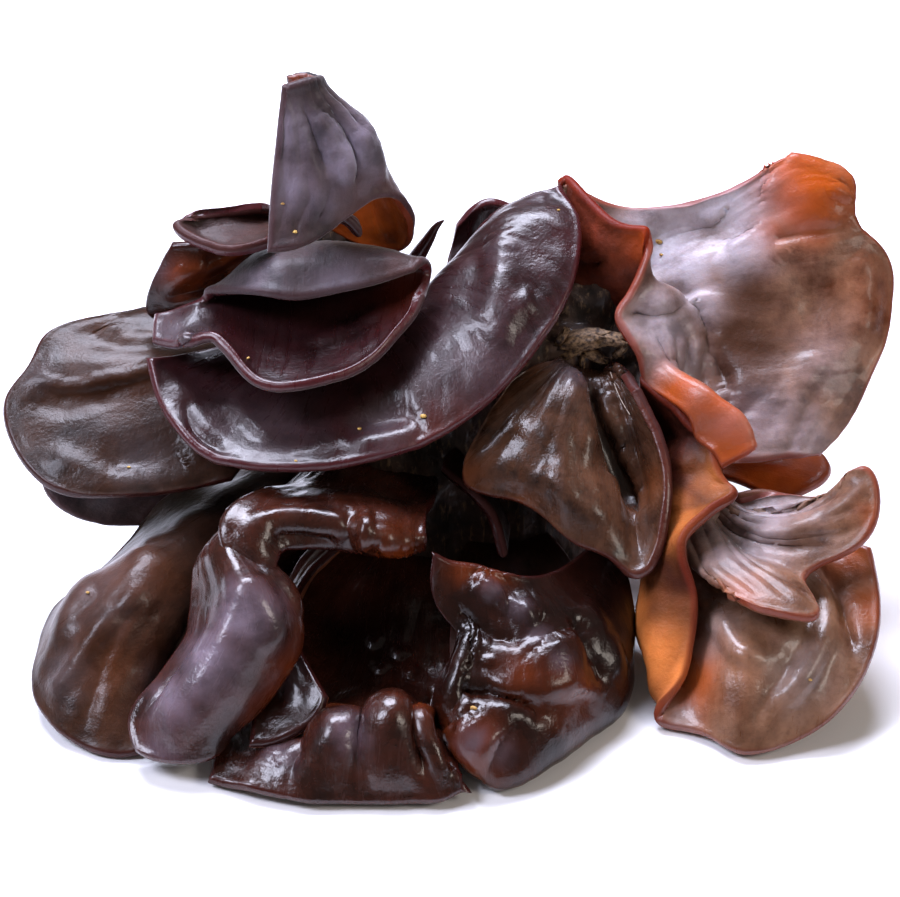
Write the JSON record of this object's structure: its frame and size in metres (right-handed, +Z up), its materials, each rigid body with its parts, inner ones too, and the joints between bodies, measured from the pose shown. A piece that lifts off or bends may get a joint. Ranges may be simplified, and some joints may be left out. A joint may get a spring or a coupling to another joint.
{
  "type": "wood ear mushroom cluster",
  "caption": "Cluster of wet wood ear mushroom: thin brown jelly ears, folded and curled, grown from one holdfast that is cut flat.",
  "frame": {"origin": "middle of the flat cut under the holdfast, where the cluster left the wood", "axes": "+X to the right along the cluster's width, +Y to the back, +Z up, away from the cut"},
  "size_m": [0.1492, 0.109, 0.0884],
  "materials": {
    "wet_brown_ear": "wet, glossy, gelatinous",
    "dark_brown_ear": "wet, glossy, nearly black",
    "purple_brown_ear": "wet, glossy, with a purple rim",
    "velvet_grey_ear": "fine velvet, damp",
    "milky_brown_ear": "wet, glossy, translucent",
    "tan_brown_ear": "wet, glossy, translucent",
    "holdfast": "rough, with bark bits"
  },
  "bodies": {
    "root": {"holdfast": "holdfast", "centre_shelf_ear": "purple_brown_ear", "clam_ear": "purple_brown_ear", "horn_ear": "velvet_grey_ear", "top_dish_ear": "wet_brown_ear", "dark_curl_ear": "dark_brown_ear", "hood_curl_ear": "velvet_grey_ear", "back_round_ear": "purple_brown_ear", "left_dish_ear": "wet_brown_ear", "left_under_ear": "velvet_grey_ear", "lower_left_ear": "wet_brown_ear", "rolled_tongue_ear": "wet_brown_ear", "front_lip_ear": "wet_brown_ear", "small_folded_ear": "wet_brown_ear", "front_right_ear": "wet_brown_ear", "inner_strip_ear": "dark_brown_ear", "centre_right_ear": "tan_brown_ear", "right_top_ear": "milky_brown_ear", "small_dome_ear": "tan_brown_ear", "long_flap_ear": "tan_brown_ear", "right_shelf_ear": "milky_brown_ear", "back_left_ear": "wet_brown_ear", "back_right_ear": "tan_brown_ear", "back_low_ear": "purple_brown_ear"}
  },
  "joints": []
}
